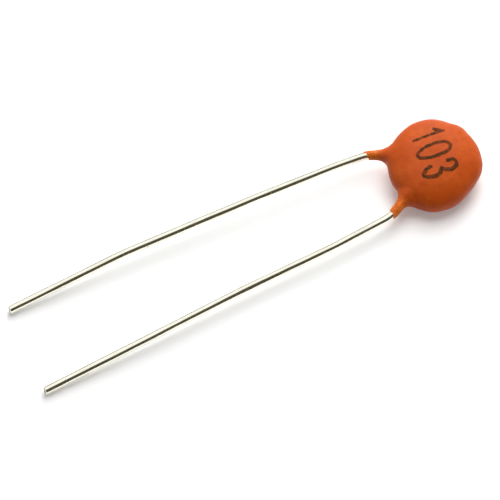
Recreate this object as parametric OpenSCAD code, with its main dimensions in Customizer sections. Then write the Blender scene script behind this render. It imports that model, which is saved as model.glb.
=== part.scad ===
// Ceramic disc capacitor with two radial leads, lying on a flat surface.
// A round ceramic has a silver film on each face, and a tinned wire is soldered to each film.
// The disc is dipped in resin, which runs a little way down both wires, into their elbows.
// Millimetres. +Z is up, the leads point to -X, and the origin is under the middle of the whole part.

/* [Ceramic] */
// Diameter of the bare ceramic disc
ceramic_d = 4; // [3.9:0.05:4.1]
// Thickness of the bare ceramic disc
ceramic_t = 0.4; // [0.3:0.05:0.45]
// Diameter of each silver electrode
electrode_d = 3.7; // [3.7:0.05:3.8]
// Thickness of each silver electrode
electrode_t = 0.04; // [0.02:0.01:0.05]

/* [Solder] */
// Diameter of each solder joint on its electrode
solder_d = 1.6; // [1.2:0.1:1.6]
// Height of each solder joint above its electrode
solder_h = 0.4; // [0.3:0.05:0.45]
// Distance by which the solder starts before the wire's inner end
solder_lead_in = 0.2; // [0.1:0.05:0.3]
// Solder left between the wire and the electrode
solder_film = 0.04; // [0.02:0.01:0.05]

/* [Leads] */
// Diameter of the tinned wire
wire_d = 0.5; // [0.4:0.05:0.5]
// Distance from the disc's centre to the inner end of each wire
wire_start = 0.2; // [0.1:0.05:0.25]
// Distance from the disc's centre to where each wire bends towards the middle plane
dip_at = 2; // [2:0.02:2.1]
// Distance from the disc's centre to where each wire runs level again
level_at = 2.7; // [2.65:0.01:2.75]
// Height of each wire above or below the middle plane where it leaves the disc
exit_h = 0.16; // [0.16:0.01:0.2]
// Distance from the disc's centre to the corner of the rear wire's elbow
rear_elbow_at = 3.9; // [3.88:0.01:3.96]
// Distance from the disc's centre to the corner of the front wire's elbow
front_elbow_at = 4.29; // [4.2:0.01:4.4]
// Radius, on the axis, of each elbow
elbow_r = 2.7; // [2.6:0.05:2.8]

/* [Coating] */
// Diameter of the dipped disc
coat_d = 5.66; // [5.5:0.02:5.7]
// Thickness of the dipped disc at its centre
coat_t = 2.2; // [2.15:0.05:2.4]
// Fullness of the disc's rounded section: 2 is a plain ellipse, more is squarer
coat_fullness = 2.4; // [2.3:0.1:3]
// Thickness of the resin film on the wires
leg_film = 0.06; // [0.05:0.005:0.08]
// Radius of the fillets between a leg's flanks and the disc's rim
leg_fillet = 0.5; // [0.4:0.05:0.5]
// Depth by which each neck reaches past its wire, down over the disc's rim
neck_drop = 0.6; // [0.4:0.05:0.7]
// Run of the resin's end along the outer side of each leg, and back along the inner side
leg_skew = 0.05; // [0:0.01:0.05]

/* [Pose] */
// Direction of the rear wire inside the coating, about the disc's axis
rear_angle = 152; // [150:0.5:153]
// Direction of the front wire inside the coating, about the disc's axis
front_angle = 206; // [204:0.5:208]
// Distance by which the rear wire passes beside the disc's centre
rear_offset = -0.66; // [-0.66:0.02:-0.5]
// Distance by which the front wire passes beside the disc's centre
front_offset = -0.1; // [-0.2:0.02:0.1]
// Sideways tilt of the disc as it lies
roll = 9; // [8:0.5:10]
// Lengthways tilt of the disc as it lies
pitch = -3; // [-4:0.5:-2]
// Centre of the disc along the part
disc_x = 11.9; // [11.8:0.02:12]
// Centre of the disc across the part
disc_y = -0.32; // [-0.36:0.02:-0.28]

/* [Hidden] */
$fn = 48;

wire_r = wire_d / 2;
coat_r = coat_d / 2;
leg_r = wire_r + leg_film;
// Height of the wire's axis above the disc's middle plane, where it is soldered
wire_h = ceramic_t / 2 + electrode_t + solder_film + wire_r;

// Each lead: direction inside the coating, side of the ceramic, distance to its elbow, offset beside the
// disc's centre, and its route outside the coating, from the tip through the slight bends handling left
rear = [rear_angle, -1, rear_elbow_at, rear_offset,
        [[-14.13, 2.87, wire_r], [-6.9, 2.84, 0.95], [1.3, 2.54, 1.2], [6.8, 2.29, 1.24]]];
front = [front_angle, 1, front_elbow_at, front_offset,
         [[-14.68, -2.87, wire_r], [-7.9, -2.75, 0.68], [-1.9, -2.5, 0.84], [4, -2.39, 0.9]]];

// --- Pose of the disc ---

// Section of the disc: a rounded outline between its two poles
section_steps = 20;
function rounded(x) = sign(x) * pow(abs(x), 2 / coat_fullness);
disc_section = [for (i = [0:section_steps])
    let (a = 180 * i / section_steps - 90) [coat_r * rounded(cos(a)), coat_t / 2 * rounded(sin(a))]];

// A vector of the disc's own frame, turned as the disc lies
function turned(v) =
    let (y = v.y * cos(roll) - v.z * sin(roll), z = v.y * sin(roll) + v.z * cos(roll))
    [v.x * cos(pitch) + z * sin(pitch), y, z * cos(pitch) - v.x * sin(pitch)];

// The disc rests on the lowest point of its rounded section
tilt = acos(turned([0, 0, 1]).z);
disc_centre = [disc_x, disc_y, max([for (p = disc_section) p.x * sin(tilt) - p.y * cos(tilt)])];

module as_it_lies() {
    translate(disc_centre) rotate([roll, pitch, 0]) children();
}

// A vector along a lead's run inside the coating, across it and square to the disc
function beside(lead, along, across, up) =
    let (c = cos(lead[0]), s = sin(lead[0]))
    turned([along * c - across * s, along * s + across * c, up]);

// Point of a wire's axis at distance s along that run
function on_wire(s, lead) =
    let (slope = (exit_h - wire_h) / (level_at - dip_at), dipped = max(0, min(s, level_at) - dip_at))
    disc_centre + beside(lead, s, lead[3], lead[1] * (wire_h + slope * dipped));

// --- Wires ---

// Points along the arc of a lead's elbow, in equal steps from its outer end to its inner one
elbow_steps = 3;
function elbow(lead) =
    let (before = lead[4][len(lead[4]) - 1], corner = on_wire(lead[2], lead),
         after = on_wire(level_at, lead),
         u = (corner - before) / norm(corner - before), v = (after - corner) / norm(after - corner),
         turn = acos(u * v), side = (v - u * cos(turn)) / sin(turn))
    [for (i = [0:elbow_steps])
        let (t = turn * i / elbow_steps)
        corner + elbow_r * ((sin(t) - tan(turn / 2)) * u + (1 - cos(t)) * side)];

// Points of a whole wire, from its tip to its soldered end
function lead_points(lead) =
    concat(lead[4], elbow(lead), [for (s = [level_at, dip_at, wire_start]) on_wire(s, lead)]);

// Each joint is a ball a hair fuller than the wire, as bent tinning is
ball_r = wire_r + 0.005;

module rod(a, b, jointed) {
    d = b - a;
    translate(a) rotate([0, acos(d.z / norm(d)), atan2(d.y, d.x)]) {
        cylinder(h = norm(d), r = wire_r);
        if (jointed) sphere(ball_r);
    }
}

module wire(lead) {
    points = lead_points(lead);
    for (i = [0:len(points) - 2]) rod(points[i], points[i + 1], i > 0);
}

// --- The dipped disc and its two legs ---

// Extra half width of a leg at distance s on one flank: an arc from the rim that dies away on the leg
function flare(s, lead, flank) =
    let (end = sqrt(pow(coat_r + leg_fillet, 2) - pow(leg_r + leg_fillet + flank * lead[3], 2)),
         start = end * coat_r / (coat_r + leg_fillet))
    leg_fillet - sqrt(pow(leg_fillet, 2) - pow(max(0, end - max(s, start)), 2));

// Points round a wire at p, for given flares of the two flanks, scaled about the wire. The ring is
// tilted along the wire by the vector skew, for the slanting end of the resin.
leg_sides = 18;
function leg_ring(p, lead, flares = [0, 0], size = 1, skew = [0, 0, 0]) =
    let (drop = neck_drop * (flares[0] + flares[1]) / (2 * leg_fillet))
    [for (i = [0:leg_sides - 1])
        let (a = 360 * i / leg_sides,
             across = (leg_r + flares[cos(a) < 0 ? 0 : 1]) * size * cos(a),
             up = (leg_r + drop / 2) * size * sin(a) - lead[1] * drop / 2)
        p + skew * cos(a) + beside(lead, 0, across, up)];

// Rings of a leg's neck, whose flanks leave the disc's rim as fillets
neck_start = 0.9 * coat_r;
neck_rings = 8;
function neck(lead) =
    [for (i = [0:neck_rings])
        let (s = neck_start + (coat_r + leg_fillet - neck_start) * i / neck_rings)
        leg_ring(on_wire(s, lead), lead, [flare(s, lead, -1), flare(s, lead, 1)])];

// Rings of a leg's tip: places along the middle of the elbow, and shares of the film left there
tip_length = 0.06;
tip_shape = [[-1, 1], [0, 0.4], [1, -1]];
function tip(e, lead) =
    let (ahead = (e[1] - e[2]) / norm(e[1] - e[2]))
    [for (ring = tip_shape)
        leg_ring((e[1] + e[2]) / 2 + ahead * ring[0] * tip_length, lead,
                 size = (wire_r + leg_film * ring[1]) / leg_r, skew = ahead * leg_skew * lead[1])];

// Rings of a whole leg, from its start under the dome
buried_at = 0.4 * coat_r;
function leg_rings(lead) =
    let (e = elbow(lead))
    concat([leg_ring(on_wire(buried_at, lead), lead, size = 0.5), leg_ring(on_wire(dip_at, lead), lead)],
           neck(lead), [leg_ring(e[3], lead), leg_ring(e[2], lead)], tip(e, lead));

// Closed skin through rings that have equal numbers of points
module loft(rings) {
    n = len(rings[0]);
    last = len(rings) - 1;
    walls = [for (i = [0:last - 1], k = [0:n - 1])
        let (a = i * n + k, b = i * n + (k + 1) % n)
        each [[a, a + n, b + n], [a, b + n, b]]];
    polyhedron([for (ring = rings) each ring],
               concat([[for (k = [0:n - 1]) k]], walls, [[for (k = [n - 1:-1:0]) last * n + k]]));
}

// --- Ceramic, electrodes and solder, in the disc's own frame ---

module ceramic_body() {
    cylinder(h = ceramic_t, d = ceramic_d, center = true);
}

// Silver film on one face of the ceramic: side is 1 for the upper face and -1 for the lower
module electrode_body(side) {
    translate([0, 0, side * (ceramic_t + electrode_t) / 2])
        cylinder(h = electrode_t, d = electrode_d, center = true);
}

// Mound of solder on that film, round the wire's inner end, with its foot sunk by a given depth
module solder_mound(lead, sunk) {
    base_r = solder_d / 2;
    dome_r = (pow(base_r, 2) + pow(solder_h, 2)) / (2 * solder_h);
    rotate([0, 0, lead[0]])
        translate([wire_start + base_r - solder_lead_in, lead[3], lead[1] * (ceramic_t / 2 + electrode_t)])
            rotate([lead[1] > 0 ? 0 : 180, 0, 0])
                rotate_extrude() intersection() {
                    translate([0, solder_h - dome_r]) circle(dome_r);
                    translate([0, -sunk]) square([dome_r, solder_h + sunk]);
                }
}

module solder_body(lead) {
    difference() {
        as_it_lies() solder_mound(lead, 0);
        wire(lead);
    }
}

// Ceramic and both electrodes as one stepped disc
module plates() {
    face = ceramic_t / 2;
    film_r = electrode_d / 2;
    upper = [[0, face + electrode_t], [film_r, face + electrode_t], [film_r, face], [ceramic_d / 2, face]];
    rotate_extrude() polygon([each upper, for (i = [3:-1:0]) [upper[i].x, -upper[i].y]]);
}

// --- Sub-parts ---

// The resin fills every gap round the pieces inside it
module coating() {
    color("chocolate")
    difference() {
        union() {
            as_it_lies() rotate_extrude() polygon(disc_section);
            for (lead = [rear, front]) loft(leg_rings(lead));
        }
        as_it_lies() {
            plates();
            for (lead = [rear, front]) solder_mound(lead, electrode_t / 2);
        }
        for (lead = [rear, front]) wire(lead);
    }
}

module ceramic_disc() { color("tan") as_it_lies() ceramic_body(); }
module front_electrode() { color("gainsboro") as_it_lies() electrode_body(1); }
module rear_electrode() { color("gainsboro") as_it_lies() electrode_body(-1); }
module front_solder() { color("darkgray") solder_body(front); }
module rear_solder() { color("darkgray") solder_body(rear); }
module front_lead() { color("silver") wire(front); }
module rear_lead() { color("silver") wire(rear); }

coating();
ceramic_disc();
front_electrode();
rear_electrode();
front_solder();
rear_solder();
front_lead();
rear_lead();
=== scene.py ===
"""Ceramic disc capacitor, lying on a pale floor under soft light."""
import itertools
import math

import bpy
import numpy as np
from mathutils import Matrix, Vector


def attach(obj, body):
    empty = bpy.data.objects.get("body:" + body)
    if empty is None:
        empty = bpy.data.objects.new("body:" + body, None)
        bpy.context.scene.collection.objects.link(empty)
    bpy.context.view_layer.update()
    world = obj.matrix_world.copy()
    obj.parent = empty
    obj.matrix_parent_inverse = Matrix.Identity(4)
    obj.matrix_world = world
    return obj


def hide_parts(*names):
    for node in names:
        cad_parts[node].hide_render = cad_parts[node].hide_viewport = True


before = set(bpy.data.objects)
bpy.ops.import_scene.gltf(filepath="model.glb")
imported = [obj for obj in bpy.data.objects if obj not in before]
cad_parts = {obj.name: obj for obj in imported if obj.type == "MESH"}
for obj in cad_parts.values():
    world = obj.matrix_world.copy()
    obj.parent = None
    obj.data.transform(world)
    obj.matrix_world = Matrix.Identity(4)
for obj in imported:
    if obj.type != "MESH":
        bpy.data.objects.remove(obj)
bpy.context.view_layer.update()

MM = 0.001

# ---------------------------------------------------------------- the part's dimensions, in millimetres

WIRE_R = 0.25
WIRE_H = 0.53          # wire axis above the disc's middle plane, where it is soldered
EXIT_H = 0.16          # the same where it leaves the disc
DIP_R, ELBOW_R, BOW_R = 1.0, 2.7, 20.0    # bends of the wires, from the solder outwards

# Along each wire, from beside the disc's centre: its soldered end, and where it runs down towards the
# disc's middle plane
WIRE_START = 0.2
DIP_AT, LEVEL_AT = 2.0, 2.7

DISC_R = 2.813
DISC_HALF_T = 1.087
FULLNESS = 2.4         # 2 is an ellipse, more is squarer
TILT = (math.radians(9), math.radians(-3))
DISC_CENTRE = np.array([11.9, -0.32, 1.227])

# Each lead: direction inside the resin, side of the ceramic, distance to its elbow, offset beside the
# disc's centre, how far past the elbow the resin ends, and the route outside the resin, from the tip
LEADS = {
    "rear": dict(angle=math.radians(152), side=-1, elbow=3.90, offset=-0.66, end=0.08,
                 route=[(-14.13, 2.87, WIRE_R), (-6.9, 2.84, 0.95), (1.3, 2.54, 1.2), (6.8, 2.29, 1.24)]),
    "front": dict(angle=math.radians(206), side=1, elbow=4.29, offset=-0.1, end=-0.1,
                  route=[(-14.68, -2.87, WIRE_R), (-7.9, -2.75, 0.68), (-1.9, -2.5, 0.84),
                         (4, -2.39, 0.9)]),
}

# Waves of the dipped disc's uneven outline: lobes round the disc, height, and a crest's degrees. They
# weren't chosen by hand: they are the rounded result of a program's fit to the photographed outline
OUTLINE_WAVES = [(2, 0.084, 87), (3, 0.051, -34), (4, 0.041, -113), (6, 0.014, 140), (7, 0.013, 112),
                 (10, 0.011, -72), (12, 0.011, -23)]


def turn_matrix(roll, pitch):
    """Rotation by roll about x and then by pitch about y."""
    cr, sr, cp, sp = math.cos(roll), math.sin(roll), math.cos(pitch), math.sin(pitch)
    about_x = np.array([[1, 0, 0], [0, cr, -sr], [0, sr, cr]])
    about_y = np.array([[cp, 0, sp], [0, 1, 0], [-sp, 0, cp]])
    return about_y @ about_x


TURN = turn_matrix(*TILT)


def as_it_lies(points):
    """Points of the disc's own frame, moved to where the disc lies."""
    return np.asarray(points) @ TURN.T + DISC_CENTRE


def as_dipped(points):
    """Points of the part's frame, moved to the disc's own frame."""
    return (np.asarray(points) - DISC_CENTRE) @ TURN


# ---------------------------------------------------------------- mesh helpers

def waves(points, seed, length, count=14):
    """Smooth random field of unit size whose features are about length across."""
    rng = np.random.default_rng(seed)
    total = np.zeros(len(points))
    for _ in range(count):
        direction = rng.normal(size=3)
        direction /= np.linalg.norm(direction)
        k = 2 * math.pi / (length * rng.uniform(0.7, 1.6))
        total += np.sin(points @ direction * k + rng.uniform(0, 2 * math.pi))
    return total / math.sqrt(count / 2)


def smooth_min(a, b, k):
    """The lesser of two distances, with the corner between their surfaces rounded over about k."""
    h = np.maximum(k - np.abs(a - b), 0) / k
    return np.minimum(a, b) - h * h * k / 4


def smooth_step(x):
    x = np.clip(x, 0, 1)
    return x * x * (3 - 2 * x)


def skin(field, low, high, step):
    """Closed quad mesh of the surface where field is zero."""
    axes = [np.arange(a, b, step) for a, b in zip(low, high)]
    shape = [len(a) for a in axes]
    grid = np.stack(np.meshgrid(*axes, indexing="ij"), -1).reshape(-1, 3)
    inside = (field(grid) < 0).reshape(shape)
    cells = sum(inside[tuple(slice(c, n - 1 + c) for c, n in zip(corner, shape))].astype(int)
                for corner in itertools.product((0, 1), repeat=3))
    mixed = (cells > 0) & (cells < 8)
    index = np.full(mixed.shape, -1)
    index[mixed] = np.arange(mixed.sum())
    points = np.array(low) + (np.argwhere(mixed) + 0.5) * step
    quads = []
    for axis in range(3):
        here = inside.take(range(shape[axis] - 1), axis)
        there = inside.take(range(1, shape[axis]), axis)
        edges = np.argwhere(here != there)
        u, v = (axis + 1) % 3, (axis + 2) % 3
        quad = []
        for du, dv in ((0, 0), (-1, 0), (-1, -1), (0, -1)):
            cell = edges.copy()
            cell[:, u] += du
            cell[:, v] += dv
            quad.append(index[tuple(cell.T)])
        quad = np.stack(quad, 1)
        flip = there[tuple(edges.T)]
        quad[flip] = quad[flip][:, ::-1]
        quads.append(quad)
    return points, np.concatenate(quads)


def slope_of(field, points, h=1e-3):
    """Direction and rate in which a field grows at each point."""
    return np.stack([(field(points + d) - field(points - d)) / (2 * h) for d in np.eye(3) * h], 1)


def settle(points, field, rounds=3):
    """Moves points onto the surface where field is zero."""
    for _ in range(rounds):
        slope = slope_of(field, points)
        points = points - (field(points) / np.maximum((slope ** 2).sum(1), 1e-6))[:, None] * slope
    return points


def relax(points, quads, field, rounds):
    """Evens out the quads, keeping the points on the surface."""
    pairs = np.concatenate([quads[:, [i, (i + 1) % 4]] for i in range(4)])
    for _ in range(rounds):
        total = np.zeros_like(points)
        count = np.zeros(len(points))
        for a, b in ((0, 1), (1, 0)):
            np.add.at(total, pairs[:, a], points[pairs[:, b]])
            np.add.at(count, pairs[:, a], 1)
        points = settle(0.5 * points + 0.5 * total / count[:, None], field, 1)
    return points


def make_piece(name, points, faces, material, replaces=None):
    """Adds a smooth-shaded piece, from points in millimetres, that rides on the part's one body."""
    mesh = bpy.data.meshes.new(name)
    mesh.from_pydata((np.asarray(points) * MM).tolist(), [], [list(map(int, face)) for face in faces])
    mesh.polygons.foreach_set("use_smooth", [True] * len(mesh.polygons))
    mesh.materials.append(material)
    mesh.update()
    piece = bpy.data.objects.new(name, mesh)
    bpy.context.scene.collection.objects.link(piece)
    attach(piece, "root")
    if replaces:
        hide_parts(replaces)
    return piece


def add_values(piece, name, values):
    """Gives each point of a piece a value that its material can read."""
    attribute = piece.data.attributes.new(name, "FLOAT", "POINT")
    attribute.data.foreach_set("value", np.asarray(values, np.float32))


# ---------------------------------------------------------------- material helpers

class Nodes:
    """Short names for building a material's node tree."""

    def __init__(self, tree):
        self.tree = tree
        tree.nodes.clear()

    def put(self, value, socket):
        """Gives an input socket a plain value, or links another node's output to it."""
        if isinstance(value, bpy.types.NodeSocket):
            self.tree.links.new(value, socket)
        else:
            socket.default_value = value

    def add(self, kind, inputs=None, **settings):
        node = self.tree.nodes.new(kind)
        for key, value in settings.items():
            setattr(node, key, value)
        for key, value in (inputs or {}).items():
            self.put(value, node.inputs[key])
        return node

    def noise(self, vector, scale, detail=2.0, roughness=0.5, distortion=0.0):
        node = self.add("ShaderNodeTexNoise", {"Vector": vector, "Scale": scale, "Detail": detail,
                                               "Roughness": roughness, "Distortion": distortion})
        return node.outputs["Fac"]

    def ramp(self, value, low, high, to_low=0.0, to_high=1.0):
        """Turns smoothly from to_low, where the value is low, to to_high, where it is high."""
        return self.add("ShaderNodeMapRange", {"Value": value, "From Min": low, "From Max": high,
                                               "To Min": to_low, "To Max": to_high},
                        interpolation_type="SMOOTHSTEP").outputs["Result"]

    def mix(self, factor, a, b):
        """Colour between a and b. The node's sockets go by number, because its kinds share their names."""
        return self.add("ShaderNodeMix", {0: factor, 6: a, 7: b}, data_type="RGBA").outputs[2]

    def math(self, operation, a, b):
        return self.add("ShaderNodeMath", {0: a, 1: b}, operation=operation).outputs[0]

    def value_of(self, name):
        """Value that add_values() gave the piece's points."""
        return self.add("ShaderNodeAttribute", attribute_name=name).outputs["Fac"]

    def millimetres(self):
        """Object coordinates in millimetres."""
        place = self.add("ShaderNodeTexCoord").outputs["Object"]
        return self.add("ShaderNodeMapping", {"Vector": place, "Scale": [1 / MM] * 3}).outputs["Vector"]

    def bump(self, height, depth, strength=1.0, normal=None):
        """Relief of the given depth in millimetres."""
        inputs = {"Height": height, "Distance": depth * MM, "Strength": strength}
        if normal is not None:
            inputs["Normal"] = normal
        return self.add("ShaderNodeBump", inputs).outputs["Normal"]

    def surface(self, inputs):
        shader = self.add("ShaderNodeBsdfPrincipled", inputs)
        self.add("ShaderNodeOutputMaterial", {"Surface": shader.outputs[0]})


def new_material(name):
    material = bpy.data.materials.new(name)
    material.use_nodes = True
    return material, Nodes(material.node_tree)


def rgb(r, g, b):
    return (r, g, b, 1.0)


# ---------------------------------------------------------------- materials

WHITE = rgb(1, 1, 1)
RESIN_DEEP, RESIN_PALE = rgb(0.55, 0.080, 0.006), rgb(0.615, 0.101, 0.008)
RESIN_FLECK = rgb(0.52, 0.070, 0.010)
RESIN_FILM, RESIN_FILM_PALE = rgb(0.66, 0.135, 0.010), rgb(0.86, 0.240, 0.026)
TIN_BRIGHT, TIN_DULL = rgb(0.98, 0.965, 0.85), rgb(0.94, 0.92, 0.78)
# The cut end's colour, after the specks', is the bare cut metal darkened further as painted shade and
# painted dark reflection
TIN_SPECK, TIN_CUT_AND_SHADE = rgb(0.45, 0.44, 0.41), rgb(0.16, 0.13, 0.09)
DRAW_LINES = (0.25, 9.0, 1.0)     # they are long along the wire and narrow round it
INK_FULL, INK_WORN, INK_RIM = rgb(0.050, 0.026, 0.008), rgb(0.28, 0.050, 0.012), rgb(0.34, 0.060, 0.012)
SILVER, SILVER_WORN = rgb(0.82, 0.80, 0.76), rgb(0.66, 0.63, 0.57)
SOLDER, SOLDER_WORN = rgb(0.62, 0.62, 0.63), rgb(0.48, 0.48, 0.50)
CERAMIC, CERAMIC_PALE = rgb(0.50, 0.42, 0.31), rgb(0.60, 0.52, 0.41)


def resin_material():
    """Dipped satin resin: cloudy orange, thinner and yellower where it films the wires."""
    material, n = new_material("resin")
    place = n.millimetres()
    cloud = n.ramp(n.noise(place, scale=0.9, detail=3.0, roughness=0.55, distortion=0.4), 0.35, 0.68)
    fleck = n.ramp(n.noise(place, scale=4.0, detail=3.0, roughness=0.6), 0.40, 0.64)
    streak = n.ramp(n.noise(place, scale=6.0, roughness=0.6), 0.40, 0.62)
    colour = n.mix(cloud, RESIN_DEEP, RESIN_PALE)
    colour = n.mix(n.math("MULTIPLY", fleck, 0.55), colour, RESIN_FLECK)
    film = n.mix(streak, RESIN_FILM, RESIN_FILM_PALE)
    colour = n.mix(n.math("MULTIPLY", n.value_of("thin"), 0.75), colour, film)
    peel = n.noise(place, scale=3.2)
    grain = n.noise(place, scale=10.0, detail=3.0, roughness=0.6)
    normal = n.bump(peel, depth=0.03, strength=0.5)
    normal = n.bump(grain, depth=0.01, strength=0.4, normal=normal)
    n.surface({"Base Color": colour, "Roughness": n.ramp(grain, 0.3, 0.7, 0.36, 0.52), "Normal": normal,
               "IOR": 1.5, "Specular IOR Level": 0.24})
    return material


def tin_material():
    """Bright tinned wire with faint draw lines, dull patches and specks, and a cut end painted dark: the
    bare cut metal, with painted shade and painted dark reflection on it.
    """
    material, n = new_material("tinned_wire")
    run = n.add("ShaderNodeUVMap", uv_map="run").outputs["UV"]
    lines = n.add("ShaderNodeMapping", {"Vector": run, "Scale": DRAW_LINES}).outputs["Vector"]
    streak = n.noise(lines, scale=3.0, detail=3.0, roughness=0.6)
    place = n.millimetres()
    patch = n.noise(place, scale=0.8, detail=3.0, roughness=0.55)
    speck = n.ramp(n.noise(place, scale=7.0), 0.66, 0.74)
    colour = n.mix(n.ramp(patch, 0.35, 0.7), TIN_BRIGHT, TIN_DULL)
    colour = n.mix(n.math("MULTIPLY", speck, 0.5), colour, TIN_SPECK)
    # The cut end is painted dark: its bare metal, plus painted shade and painted dark reflection at the tip
    colour = n.mix(n.value_of("cut"), colour, TIN_CUT_AND_SHADE)
    rough = n.math("ADD", n.ramp(patch, 0.3, 0.75, 0.11, 0.21), n.math("MULTIPLY", speck, 0.2))
    n.surface({"Base Color": colour, "Metallic": 1.0, "Roughness": rough,
               "Normal": n.bump(streak, depth=0.004, strength=0.35)})
    return material


def ink_material():
    """Thin stamped ink through which the resin shows in patches and at the edges."""
    material, n = new_material("value_ink")
    worn = n.noise(n.millimetres(), scale=4.5, detail=3.0, roughness=0.65, distortion=0.5)
    colour = n.mix(n.ramp(worn, 0.40, 0.72), INK_FULL, INK_WORN)
    colour = n.mix(n.value_of("cover"), INK_RIM, colour)
    n.surface({"Base Color": colour, "Roughness": 0.6, "IOR": 1.45, "Specular IOR Level": 0.15})
    return material


def plain_metal(name, base, worn, rough):
    """Silver film or solder: dull metal with a fine cloudy grain."""
    material, n = new_material(name)
    place = n.millimetres()
    cloud = n.ramp(n.noise(place, scale=2.5, detail=4.0, roughness=0.6), 0.3, 0.7)
    grain = n.noise(place, scale=12.0, detail=3.0, roughness=0.6)
    n.surface({"Base Color": n.mix(cloud, base, worn), "Metallic": 1.0,
               "Roughness": n.math("ADD", n.math("MULTIPLY", cloud, 0.2), rough),
               "Normal": n.bump(grain, depth=0.01, strength=0.4)})
    return material


def fired_ceramic():
    """Matt fired ceramic with a fine grain."""
    material, n = new_material("fired_ceramic")
    grain = n.noise(n.millimetres(), scale=9.0, detail=4.0, roughness=0.65)
    n.surface({"Base Color": n.mix(n.ramp(grain, 0.3, 0.7), CERAMIC, CERAMIC_PALE), "Roughness": 0.75,
               "Normal": n.bump(grain, depth=0.01, strength=0.5)})
    return material


# ---------------------------------------------------------------- where the wires run

def bend(a, b, c, radius, count=12):
    """Points round the corner b, as an arc."""
    u, v = (b - a) / np.linalg.norm(b - a), (c - b) / np.linalg.norm(c - b)
    angle = math.acos(np.clip(u @ v, -1, 1))
    side = (v - u * math.cos(angle)) / math.sin(angle)
    return [b + radius * ((math.sin(t) - math.tan(angle / 2)) * u + (1 - math.cos(t)) * side)
            for t in np.linspace(0, angle, count)]


def on_wire(s, lead):
    """Point of a wire's axis at distance s along its straight run inside the resin."""
    c, d = math.cos(lead["angle"]), math.sin(lead["angle"])
    height = np.interp(s, (DIP_AT, LEVEL_AT), (WIRE_H, EXIT_H))
    return as_it_lies((s * c - lead["offset"] * d, s * d + lead["offset"] * c, lead["side"] * height))


def lead_path(lead, spacing=0.07):
    """Evenly spaced points from a lead's tip to its soldered end, and their distances from the tip."""
    corners = [np.array(p, float) for p in lead["route"]]
    radii = [BOW_R] * (len(corners) - 1) + [ELBOW_R, DIP_R, DIP_R]
    corners += [on_wire(s, lead) for s in (lead["elbow"], LEVEL_AT, DIP_AT, WIRE_START)]
    points = [corners[0]]
    for i, radius in enumerate(radii):
        points += bend(*corners[i:i + 3], radius)
    points = np.array(points + [corners[-1]])
    run = np.concatenate([[0], np.cumsum(np.linalg.norm(np.diff(points, axis=0), axis=1))])
    even = np.linspace(0, run[-1], int(run[-1] / spacing) + 1)
    return np.stack([np.interp(even, run, points[:, k]) for k in range(3)], 1), even


# ---------------------------------------------------------------- the dipped coating

# A leg's resin, by distance along the wire from beside the disc's centre
LEG_START = 1.0
NARROW_UNTIL, NARROWING = 2.3, 0.4        # under the dome it narrows inwards, by this much a millimetre
ROOT_END, ROOT_FADE = 3.6, 1.0            # near the disc it is fuller, until here, fading over this much
ROOT_FILM, ROOT_LEAN = 0.10, 0.8          # how much fuller, and the share less on the wire's outer side
LEG_FILM, TIP_FADE = 0.04, 0.3            # film on the wire, and the stretch in which it thins out
TIP_LEAN, TIP_RAGGED, TIP_FRAYED = 0.11, 0.035, 0.02    # heights of the waves of the leg's ragged end
SUNK, CLOSED_AFTER = 0.03, 0.2            # past that end the skin goes on inside the wire, and closes

# Roundness of the corner between disc and leg under the dome, how much more it is outside, and where
# along the leg it starts to grow and over how much
CORNER, CORNER_MORE = 0.08, 0.47
CORNER_GROWS, CORNER_GROWTH = 2.2, 0.6
LEG_ROOM = 0.9            # a leg is worked out only this far round its wire

SKIN_WAVES = [(0.010, 5, 1.9), (0.004, 9, 0.7)]     # height, seed and length of its unevenness
GRID_LOW, GRID_HIGH, GRID_STEP = (-4.5, -3.2, -1.25), (3.2, 3.2, 1.25), 0.045

# Where the resin takes the colour of a thin film: near a wire, and past the thick root
THIN_WITHIN, THIN_EDGE = 0.55, 0.25
THIN_FROM, THIN_GROWTH = 2.6, 1.1


def outline(angle):
    """Radius of the dipped disc in a direction."""
    return DISC_R + sum(height * np.cos(lobes * angle - math.radians(crest))
                        for lobes, height, crest in OUTLINE_WAVES)


def disc_field(p):
    """Distance, near the surface, to the rounded disc."""
    across = np.hypot(p[:, 0], p[:, 1])
    radius = outline(np.arctan2(p[:, 1], p[:, 0]))
    out, up = across / radius, np.abs(p[:, 2]) / DISC_HALF_T
    # The lower limits of size and steep keep the disc's middle finite
    size = np.maximum((out ** FULLNESS + up ** FULLNESS) ** (1 / FULLNESS), 0.05)
    steep = np.hypot((out / size) ** (FULLNESS - 1) / radius, (up / size) ** (FULLNESS - 1) / DISC_HALF_T)
    return (size - 1) / np.maximum(steep, 0.2)


def leg_axis(lead):
    """Points of a wire's axis in the disc's frame, from under the dome to past the elbow, and each one's
    distance along it."""
    inner = [LEG_START, DIP_AT, LEVEL_AT]
    corners = np.array(lead["route"][-1]), on_wire(lead["elbow"], lead), on_wire(LEVEL_AT, lead)
    elbow = bend(*corners, ELBOW_R)[::-2]
    beyond = elbow[-1] + (elbow[-1] - elbow[-2]) * 5
    axis = as_dipped([*(on_wire(s, lead) for s in inner), *elbow, beyond])
    steps = np.linalg.norm(np.diff(axis[len(inner) - 1:], axis=0), axis=1)
    return axis, np.concatenate([inner, LEVEL_AT + np.cumsum(steps)])


def along_leg(p, lead):
    """Distance along a leg's axis, distance across it, and height above it."""
    axis, run = leg_axis(lead)
    best = np.full(len(p), np.inf)
    out = np.zeros((3, len(p)))
    for i in range(len(axis) - 1):
        ahead = axis[i + 1] - axis[i]
        # The first and the last stretch go on past the ends of the axis
        low = -np.inf if i == 0 else 0
        high = np.inf if i == len(axis) - 2 else 1
        t = np.clip((p - axis[i]) @ ahead / (ahead @ ahead), low, high)
        off = p - axis[i] - t[:, None] * ahead
        gap = (off ** 2).sum(1)
        near = gap < best
        best[near] = gap[near]
        side = np.array([-ahead[1], ahead[0], 0]) / np.hypot(ahead[0], ahead[1])
        out[:, near] = run[i] + (run[i + 1] - run[i]) * t[near], off[near] @ side, off[near, 2]
    return out


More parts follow.
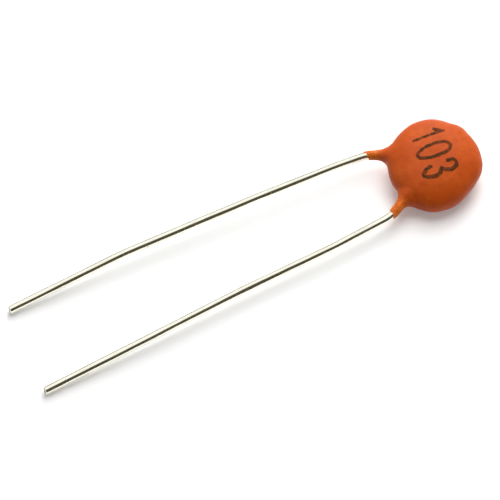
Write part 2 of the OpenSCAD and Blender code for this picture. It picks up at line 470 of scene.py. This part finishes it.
def leg_tip(across, height, lead):
    """Where the resin ends along a leg: further on the outer flank, and ragged."""
    around = np.arctan2(height, across * lead["side"])
    tip = lead["elbow"] + lead["end"] + TIP_LEAN * np.cos(around)
    return tip + TIP_RAGGED * np.sin(3 * around + 1) + TIP_FRAYED * np.cos(5 * around + 2)


def leg_field(p, lead):
    """Distance to the resin round a wire, thinning to a ragged end, and distance along the leg."""
    run, across, height = along_leg(p, lead)
    away = np.maximum(np.hypot(across, height), 1e-6)
    tip = leg_tip(across, height, lead)
    film = LEG_FILM * np.sqrt(np.clip((tip - run) / TIP_FADE, 0, 1))
    outer = np.clip(lead["side"] * height / away, 0, 1)
    film += ROOT_FILM * smooth_step((ROOT_END - run) / ROOT_FADE) * (1 - ROOT_LEAN * outer)
    film = np.where(run > tip, -SUNK, film)
    tube = away - (WIRE_R + film) + NARROWING * np.maximum(0, NARROW_UNTIL - run)
    return np.maximum(tube, run - lead["elbow"] - lead["end"] - CLOSED_AFTER), run


def coat_field(p):
    """Distance, near the surface, to the whole coating: the disc and its two legs."""
    shape = disc_field(p)
    for lead in LEADS.values():
        axis, _ = leg_axis(lead)
        near = ((p > axis.min(0) - LEG_ROOM) & (p < axis.max(0) + LEG_ROOM)).all(1)
        leg, run = leg_field(p[near], lead)
        corner = CORNER + CORNER_MORE * smooth_step((run - CORNER_GROWS) / CORNER_GROWTH)
        shape[near] = smooth_min(shape[near], leg, corner)
    for height, seed, length in SKIN_WAVES:
        shape = shape + height * waves(p, seed, length)
    return shape


def add_coating(material):
    points, quads = skin(coat_field, GRID_LOW, GRID_HIGH, GRID_STEP)
    points = relax(settle(points, coat_field), quads, coat_field, rounds=4)
    piece = make_piece("dipped_coating", as_it_lies(points), quads, material, "coating")
    thin = np.zeros(len(points))
    for lead in LEADS.values():
        run, across, height = along_leg(points, lead)
        near = smooth_step((THIN_WITHIN - np.hypot(across, height)) / THIN_EDGE)
        thin = np.maximum(thin, near * smooth_step((run - THIN_FROM) / THIN_GROWTH))
    add_values(piece, "thin", thin)


# ---------------------------------------------------------------- leads

SIDES = 32                # points round a wire
SLACK = 0.005             # room for the small dents inside the CAD wire's width
DENT = 0.003
DENT_LENGTH, DENT_STRETCH = 1.6, 0.6      # their size where the wire's radius is 1, and their pace along it
LEAD_SEED = 20

# The cutters leave the tip a little crushed, most at CRUSH_TURN radians round the wire, and draw back
# the edge across from there
CRUSHED_LENGTH = 0.16
CRUSH, CRUSH_UNEVEN, CRUSH_TURN = 0.10, 0.6, 4.2
DRAWN_BACK = 0.05
CAP_SHARE, CAP_RISE, CAP_TOP = 0.55, 0.010, 0.012      # a cut end's inner ring, and how far it bulges


def lead_rings(lead, seed):
    """Rings of points round a wire, each ring's distance from the tip, and the way ahead there."""
    path, run = lead_path(lead)
    ahead = np.gradient(path, axis=0)
    ahead /= np.linalg.norm(ahead, axis=1)[:, None]
    side = np.cross((0, 0, 1), ahead)
    side /= np.linalg.norm(side, axis=1)[:, None]
    up = np.cross(ahead, side)
    turn = np.arange(SIDES) * 2 * math.pi / SIDES
    cos, sin = np.cos(turn), np.sin(turn)
    outward = cos[None, :, None] * side[:, None] + sin[None, :, None] * up[:, None]
    probe = np.stack([np.repeat(run, SIDES) * DENT_STRETCH, *np.tile([cos, sin], len(run))], 1)
    dents = waves(probe, seed, DENT_LENGTH).reshape(len(run), SIDES)
    radius = WIRE_R - SLACK + DENT * dents
    crush = np.clip(1 - run / CRUSHED_LENGTH, 0, 1)[:, None]
    lean = np.cos(turn - CRUSH_TURN)
    radius = radius * (1 - CRUSH * crush ** 2 * (1 + CRUSH_UNEVEN * lean))
    drawn = DRAWN_BACK * crush * (1 - lean)
    points = path[:, None] + radius[..., None] * outward + drawn[..., None] * ahead[:, None]
    return points.reshape(-1, 3), run, ahead


def add_cap(points, faces, first, out):
    """Closes the wire's end whose ring starts at the point first, with a low bulge in the direction out."""
    rim = points[first:first + SIDES]
    middle = rim.mean(0)
    inner = len(points)
    top = inner + SIDES
    points = np.concatenate([points, middle + CAP_SHARE * (rim - middle) + CAP_RISE * out,
                             [middle + CAP_TOP * out]])
    for k in range(SIDES):
        after = (k + 1) % SIDES
        a, b, c, d = first + k, first + after, inner + after, inner + k
        faces += [(b, a, d, c), (c, d, top)] if first == 0 else [(a, b, c, d), (d, c, top)]
    return points


def add_run_map(piece, run):
    """UV map of distance from the tip and turn round the wire, for the draw lines."""
    mesh = piece.data
    places = np.zeros((len(mesh.loops), 2), np.float32)
    for polygon in mesh.polygons:
        corners = [mesh.loops[i].vertex_index for i in polygon.loop_indices]
        turns = [(v % SIDES) / SIDES for v in corners]
        closing = max(turns) - min(turns) > 0.5
        for i, v, t in zip(polygon.loop_indices, corners, turns):
            ring = v // SIDES
            places[i] = (run[ring] if ring < len(run) else 0, t + 1 if closing and t < 0.5 else t)
    mesh.uv_layers.new(name="run").data.foreach_set("uv", places.ravel())


def add_lead(name, lead, material, seed):
    points, run, ahead = lead_rings(lead, seed)
    on_rings = len(points)
    faces = [(i + k, i + (k + 1) % SIDES, i + SIDES + (k + 1) % SIDES, i + SIDES + k)
             for i in range(0, on_rings - SIDES, SIDES) for k in range(SIDES)]
    points = add_cap(points, faces, 0, -ahead[0])
    points = add_cap(points, faces, on_rings - SIDES, ahead[-1])
    piece = make_piece(name + "_tinned_wire", points, faces, material, name + "_lead")
    # The caps' points take the cut end's colour, which carries painted shade and painted dark reflection
    add_values(piece, "cut", np.arange(len(points)) >= on_rings)
    add_run_map(piece, run)


# ---------------------------------------------------------------- printed value

# Strokes of the digits, in millimetres across and up from the middle of the print: the 1 with its flag,
# the 0, and the two bows of the 3. Their points were read off the photographed print
STROKES = [
    [(-1.04, -0.84), (-1.04, -0.3), (-1.04, 0.4), (-1.04, 1.08)],
    [(-1.05, 1.02), (-1.16, 0.86), (-1.36, 0.58)],
    [(-1.05, 0.95), (-1.14, 0.72), (-1.32, 0.55)],
    [(-0.01, 1.04), (0.20, 0.94), (0.34, 0.6), (0.37, 0.1), (0.35, -0.4), (0.22, -0.84), (0.0, -1.02),
     (-0.22, -0.84), (-0.37, -0.4), (-0.40, 0.1), (-0.37, 0.6), (-0.22, 0.94), (-0.01, 1.04)],
    [(0.88, 0.48), (0.90, 0.74), (1.06, 0.92), (1.28, 0.88), (1.44, 0.66), (1.45, 0.36), (1.34, 0.10),
     (1.21, -0.05)],
    [(1.21, -0.05), (1.40, -0.18), (1.52, -0.42), (1.52, -0.72), (1.42, -1.02), (1.26, -1.16),
     (1.08, -1.06), (0.94, -0.84), (0.89, -0.6)],
]
PRINT_ORIGIN = (0.13, 0.436)      # in the disc's frame
PRINT_UP = math.radians(-6)       # where the digits' tops point to, from the disc's x axis
PRINT_LOW, PRINT_HIGH, PRINT_STEP = (-1.6, -1.3), (1.7, 1.3), 0.02      # grid that the ink is cut from
STROKE = 0.235
PRESS = 0.13              # how much wider the strokes get, a millimetre further towards the last digit
EDGE_WAVES = [(0.010, 3, 0.30), (0.006, 4, 0.10)]   # height, seed and length of the ragged edges
INK_EDGE = 0.06           # the ink thins out over this much at a stroke's edge
INK_TOP, INK_FILM = 0.006, 0.012    # the ink's face above the skin, and its thickness


def smooth_line(points, count=8):
    """Points of a smooth curve through the given points."""
    p = np.array(points, float)
    closed = np.allclose(p[0], p[-1])
    before, after = (p[-2], p[1]) if closed else (2 * p[0] - p[1], 2 * p[-1] - p[-2])
    q = np.concatenate([[before], p, [after]])
    out = []
    for a, b, c, d in zip(q[:-3], q[1:-2], q[2:-1], q[3:]):
        for t in np.linspace(0, 1, count, endpoint=False):
            square, cube = (2 * a - 5 * b + 4 * c - d) * t ** 2, (3 * b - a - 3 * c + d) * t ** 3
            out.append(0.5 * (2 * b + (c - a) * t + square + cube))
    return np.array(out + [p[-1]])


def distance_to(line, p):
    """Distance of each of the points p to a line through several points."""
    best = np.full(len(p), np.inf)
    for a, b in zip(line[:-1], line[1:]):
        d = b - a
        t = np.clip(((p - a) @ d) / max(d @ d, 1e-9), 0, 1)
        best = np.minimum(best, np.linalg.norm(p - a - t[:, None] * d, axis=1))
    return best


def onto_dome(points, rounds=12):
    """Moves points straight up or down, in the disc's frame, onto the coating."""
    for _ in range(rounds):
        slope = slope_of(coat_field, points)[:, 2]
        points[:, 2] -= coat_field(points) / np.maximum(slope, 0.3)
    return points


def add_print(material):
    """Ink digits that follow the dome, with slightly ragged edges."""
    us, vs = (np.arange(a, b, PRINT_STEP) for a, b in zip(PRINT_LOW, PRINT_HIGH))
    flat = np.stack(np.meshgrid(us, vs, indexing="ij"), -1).reshape(-1, 2)
    near = np.min([distance_to(smooth_line(stroke), flat) for stroke in STROKES], axis=0)
    solid = np.concatenate([flat, np.zeros((len(flat), 1))], 1)
    for height, seed, length in EDGE_WAVES:
        near = near + height * waves(solid, seed, length)
    depth = STROKE / 2 * (1 + PRESS * flat[:, 0]) - near
    inked = (depth > 0).reshape(len(us), len(vs))
    cells = inked[:-1, :-1] & inked[1:, :-1] & inked[1:, 1:] & inked[:-1, 1:]
    index = np.arange(len(flat)).reshape(len(us), len(vs))
    corners = index[:-1, :-1], index[1:, :-1], index[1:, 1:], index[:-1, 1:]
    used, quads = np.unique(np.stack([corner[cells] for corner in corners], 1), return_inverse=True)
    up = np.array([math.cos(PRINT_UP), math.sin(PRINT_UP)])
    right = np.array([up[1], -up[0]])
    place = np.array(PRINT_ORIGIN) + flat[used, :1] * right + flat[used, 1:] * up
    above = np.full((len(place), 1), DISC_HALF_T + 0.1)
    points = onto_dome(np.concatenate([place, above], 1))
    normal = slope_of(coat_field, points)
    points = points + INK_TOP * normal / np.linalg.norm(normal, axis=1)[:, None]
    piece = make_piece("value_print", as_it_lies(points), quads.reshape(-1, 4), material)
    add_values(piece, "cover", np.clip(depth[used] / INK_EDGE, 0, 1))
    film = piece.modifiers.new("film", "SOLIDIFY")
    film.thickness = INK_FILM * MM
    film.offset = -1


# ---------------------------------------------------------------- stage, light and camera

FLOOR_HALF = 0.6          # metres
FLOOR_COLOUR = rgb(0.92, 0.92, 0.92)
FLOOR_LIFT = 0.21         # light of its own that brings the lit floor to white

# The room's shades, by degrees over the near horizon and on past the zenith to the far one: each sets in
# between the first two and ends between the last two
NEAR_SHADE = ((-14, -8), (68, 84))
FAR_SHADE = ((156, 164), (179, 186))
NEAR_SHADE_DEPTH = 0.93
NEAR_SHADE_TINT = rgb(1.0, 0.90, 0.62)
ROOM_LIGHT, ROOM_SHINE = 0.30, 0.72       # the light it gives, and how much more shows in reflections

# Lamps: direction from the part, distance and width in metres, and power in watts
LAMPS = {
    "key": ((0.30, 0.32, 1.0), 0.16, 0.14, 0.165),
    "side": ((0.58, 0.80, 0.577), 0.20, 0.16, 0.29),
    "fill": ((0.80, -0.50, 0.25), 0.20, 0.16, 0.07),
}

# The camera looks at the target from so many degrees round from the near side, and so many up
AZIMUTH, ELEVATION = math.radians(-28), math.radians(57)
DISTANCE = 0.170
TARGET = (0, 0.0002, 0)
LENS, SENSOR = 211.8, 36


def add_floor():
    """Pale floor that shows white, with the part's soft shadow on it."""
    corners = [(x * FLOOR_HALF, y * FLOOR_HALF, 0) for x, y in ((-1, -1), (1, -1), (1, 1), (-1, 1))]
    mesh = bpy.data.meshes.new("floor")
    mesh.from_pydata(corners, [], [(0, 1, 2, 3)])
    floor = bpy.data.objects.new("floor", mesh)
    bpy.context.scene.collection.objects.link(floor)
    material, n = new_material("pale_floor")
    diffuse = n.add("ShaderNodeBsdfDiffuse", {"Color": FLOOR_COLOUR})
    path = n.add("ShaderNodeLightPath")
    seen = n.math("MAXIMUM", path.outputs["Is Camera Ray"], path.outputs["Is Glossy Ray"])
    seen = n.math("MAXIMUM", seen, path.outputs["Is Transmission Ray"])
    lift = n.add("ShaderNodeEmission", {"Color": WHITE, "Strength": n.math("MULTIPLY", seen, FLOOR_LIFT)})
    both = n.add("ShaderNodeAddShader", {0: diffuse.outputs[0], 1: lift.outputs[0]})
    n.add("ShaderNodeOutputMaterial", {"Surface": both.outputs[0]})
    mesh.materials.append(material)


def shade(n, rise, sets_in, ends):
    """1 where the angle rise is inside one of the room's shades, and 0 outside it."""
    inside = n.ramp(rise, *(math.radians(a) for a in sets_in))
    before = n.ramp(rise, *(math.radians(a) for a in ends), 1.0, 0.0)
    return n.math("MULTIPLY", inside, before)


def add_world():
    """White room that is dark on the near side and has a thin dark strip low on the far one. The wires
    reflect both as lines."""
    world = bpy.data.worlds.new("studio")
    bpy.context.scene.world = world
    world.use_nodes = True
    n = Nodes(world.node_tree)
    direction = n.add("ShaderNodeTexCoord").outputs["Generated"]
    split = n.add("ShaderNodeSeparateXYZ", {"Vector": direction})
    rise = n.math("ARCTAN2", split.outputs["Z"], n.math("MULTIPLY", split.outputs["Y"], -1.0))
    near = shade(n, rise, *NEAR_SHADE)
    level = n.math("SUBTRACT", 1.0, n.math("MULTIPLY", near, NEAR_SHADE_DEPTH))
    level = n.math("MULTIPLY", level, n.math("SUBTRACT", 1.0, shade(n, rise, *FAR_SHADE)))
    path = n.add("ShaderNodeLightPath")
    shine = n.math("ADD", ROOM_LIGHT, n.math("MULTIPLY", path.outputs["Is Glossy Ray"], ROOM_SHINE))
    seen = n.math("MAXIMUM", path.outputs["Is Camera Ray"], path.outputs["Is Transmission Ray"])
    strength = n.math("MAXIMUM", n.math("MULTIPLY", level, shine), seen)
    colour = n.mix(near, WHITE, NEAR_SHADE_TINT)
    background = n.add("ShaderNodeBackground", {"Color": colour, "Strength": strength})
    n.add("ShaderNodeOutputWorld", {"Surface": background.outputs[0]})


def add_lamp(name, direction, distance, width, power):
    data = bpy.data.lights.new(name, "AREA")
    data.shape = "DISK"
    data.size = width
    data.energy = power
    lamp = bpy.data.objects.new(name, data)
    bpy.context.scene.collection.objects.link(lamp)
    direction = Vector(direction).normalized()
    lamp.location = direction * distance
    lamp.rotation_mode = "QUATERNION"
    lamp.rotation_quaternion = direction.to_track_quat("Z", "Y")
    lamp.visible_glossy = False    # the wires reflect the room alone


def add_camera():
    level = math.cos(ELEVATION)
    back = Vector((math.sin(AZIMUTH) * level, -math.cos(AZIMUTH) * level, math.sin(ELEVATION)))
    data = bpy.data.cameras.new("camera")
    data.sensor_width = SENSOR
    data.lens = LENS
    data.clip_start, data.clip_end = 0.005, 5
    camera = bpy.data.objects.new("camera", data)
    bpy.context.scene.collection.objects.link(camera)
    camera.location = Vector(TARGET) + back * DISTANCE
    camera.rotation_mode = "QUATERNION"
    camera.rotation_quaternion = (-back).to_track_quat("-Z", "Y")
    bpy.context.scene.camera = camera


# ---------------------------------------------------------------- build

add_camera()
add_floor()
add_world()
for name, lamp in LAMPS.items():
    add_lamp(name, *lamp)
bpy.context.scene.view_settings.view_transform = "Standard"

add_coating(resin_material())
tin = tin_material()
for seed, (name, lead) in enumerate(LEADS.items(), LEAD_SEED):
    add_lead(name, lead, tin, seed)
add_print(ink_material())

silver = plain_metal("silver_film", SILVER, SILVER_WORN, rough=0.35)
solder = plain_metal("solder", SOLDER, SOLDER_WORN, rough=0.3)
ceramic = fired_ceramic()
for name, material in (("ceramic_disc", ceramic), ("front_electrode", silver), ("rear_electrode", silver),
                       ("front_solder", solder), ("rear_solder", solder)):
    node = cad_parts[name]
    node.data.materials.clear()
    node.data.materials.append(material)
